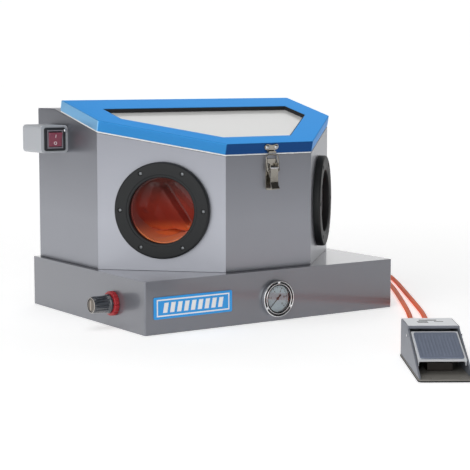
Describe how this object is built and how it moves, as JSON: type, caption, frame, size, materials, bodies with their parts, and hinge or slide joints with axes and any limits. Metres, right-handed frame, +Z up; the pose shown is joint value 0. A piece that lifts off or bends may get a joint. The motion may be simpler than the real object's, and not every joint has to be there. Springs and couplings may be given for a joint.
{
  "type": "sandblast cabinet",
  "caption": "Bench-top sandblast cabinet with glove ports, a hinged window lid with toggle latch, regulator, pressure gauge and an air foot valve on two hoses.",
  "frame": {"origin": "centre of the base's footprint, on the surface the cabinet stands on", "axes": "+X to the right-hand side, -Y out of the front, +Z up"},
  "size_m": [0.9483, 1.1404, 0.434],
  "materials": {
    "grey_enamel": "semi-gloss powder coat",
    "blue_enamel": "semi-gloss powder coat",
    "galvanised_steel": "zinc plated",
    "black_enamel": "satin",
    "black_plastic": "moulded",
    "grey_plastic": "moulded",
    "red_plastic": "moulded",
    "chrome_plate": "polished",
    "bright_steel": "turned",
    "brass": "turned",
    "cast_grey": "grey stoved casting",
    "pad_rubber": "ribbed",
    "foam": "closed-cell foam",
    "glove_rubber": "coated fabric",
    "pane": "diffusing film behind the pane",
    "white_enamel": "printed dial",
    "hose_orange": "extruded polyurethane",
    "ceramic": "sintered"
  },
  "bodies": {
    "root": {"air_inlet": "brass", "base_floor_plate": "galvanised_steel", "base_hose_fitting_1": "black_plastic", "base_hose_fitting_2": "black_plastic", "base_shell": "grey_enamel", "blast_gun_body": "bright_steel", "blast_nozzle": "ceramic", "cabin_shell": "grey_enamel", "dust_outlet": "black_plastic", "gauge_bezel": "chrome_plate", "gauge_case": "black_enamel", "gauge_dial": "white_enamel", "gauge_lens": "pane", "hinge_leaf_cabin": "bright_steel", "hinge_pin": "bright_steel", "hose_1": "hose_orange", "hose_2": "hose_orange", "lamp_housing": "grey_plastic", "lamp_lens": "pane", "latch_base_plate": "chrome_plate", "left_glove": "glove_rubber", "left_glove_clamp": "galvanised_steel", "left_port_ring": "black_enamel", "media_pan": "galvanised_steel", "nameplate": "blue_enamel", "nozzle_bracket": "galvanised_steel", "pedal_base_plate": "pad_rubber", "pedal_fitting_1": "black_plastic", "pedal_fitting_2": "black_plastic", "pedal_housing": "cast_grey", "pedal_lock_stud": "bright_steel", "pedal_pivot_pin": "bright_steel", "pedal_spring": "bright_steel", "pedal_valve_body": "galvanised_steel", "rear_top_cover": "grey_enamel", "regulator_body": "cast_grey", "regulator_ring_nut": "red_plastic", "right_glove": "glove_rubber", "right_glove_clamp": "galvanised_steel", "right_port_ring": "black_enamel", "rim_gasket": "foam", "switch_bezel": "black_plastic", "switch_box": "grey_plastic", "work_grate": "galvanised_steel"},
    "lid": {"lid_frame": "blue_enamel", "window_glass": "pane", "window_retainer": "black_enamel", "hinge_leaf_lid": "bright_steel", "latch_keeper": "chrome_plate"},
    "latch_lever": {"latch_lever": "chrome_plate"},
    "latch_loop": {"latch_loop": "chrome_plate"},
    "switch_rocker": {"switch_rocker": "red_plastic"},
    "regulator_spindle": {"regulator_spindle": "brass"},
    "regulator_knob": {"regulator_knob": "black_plastic"},
    "gauge_needle": {"gauge_needle": "black_plastic"},
    "treadle": {"pedal_treadle": "cast_grey", "pedal_treadle_pad": "pad_rubber"},
    "valve_plunger": {"pedal_valve_plunger": "bright_steel"}
  },
  "joints": [
    {"name": "lid_hinge", "type": "hinge", "parent": "root", "child": "lid", "pos_m": [0, 0.13224, 0.41518], "axis": [-1, 0, 0], "range_deg": [0, 108]},
    {"name": "latch_lever_pivot", "type": "hinge", "parent": "root", "child": "latch_lever", "pos_m": [0.004, -0.217, 0.306], "axis": [-1, 0, 0], "range_deg": [0, 140]},
    {"name": "latch_loop_pivot", "type": "hinge", "parent": "latch_lever", "child": "latch_loop", "pos_m": [0.004, -0.219, 0.296], "axis": [-1, 0, 0], "range_deg": [-154, 0]},
    {"name": "lamp_switch", "type": "hinge", "parent": "root", "child": "switch_rocker", "pos_m": [-0.3163, 0.093, 0.356], "axis": [-1, 0, 0], "range_deg": [0, 20]},
    {"name": "regulator_turn", "type": "hinge", "parent": "root", "child": "regulator_spindle", "pos_m": [-0.32, -0.115, 0.047], "axis": [-1, 0, 0], "range_deg": [-720, 720]},
    {"name": "regulator_unlock", "type": "slide", "parent": "regulator_spindle", "child": "regulator_knob", "axis": [-1, 0, 0], "range_m": [0, 0.004]},
    {"name": "gauge_pressure", "type": "hinge", "parent": "root", "child": "gauge_needle", "pos_m": [0.002, -0.238, 0.045], "axis": [0, 1, 0], "range_deg": [0, 270], "stiffness_Nm_per_rad": 0.001, "springref_deg": -17.19},
    {"name": "treadle_press", "type": "hinge", "parent": "root", "child": "treadle", "pos_m": [-0.03511, -0.73703, 0.052], "axis": [0.8387, -0.5446, 0], "range_deg": [0, 8], "stiffness_Nm_per_rad": 12, "springref_deg": -3.44},
    {"name": "plunger_travel", "type": "slide", "parent": "root", "child": "valve_plunger", "axis": [0, 0, -1], "range_m": [0, 0.0067], "deforming": ["pedal_spring"]}
  ],
  "couplings": [
    {"joint": "latch_loop_pivot", "follows": "latch_lever_pivot", "ratio": -1.1},
    {"joint": "plunger_travel", "follows": "treadle_press", "m_per_rad": 0.047}
  ]
}
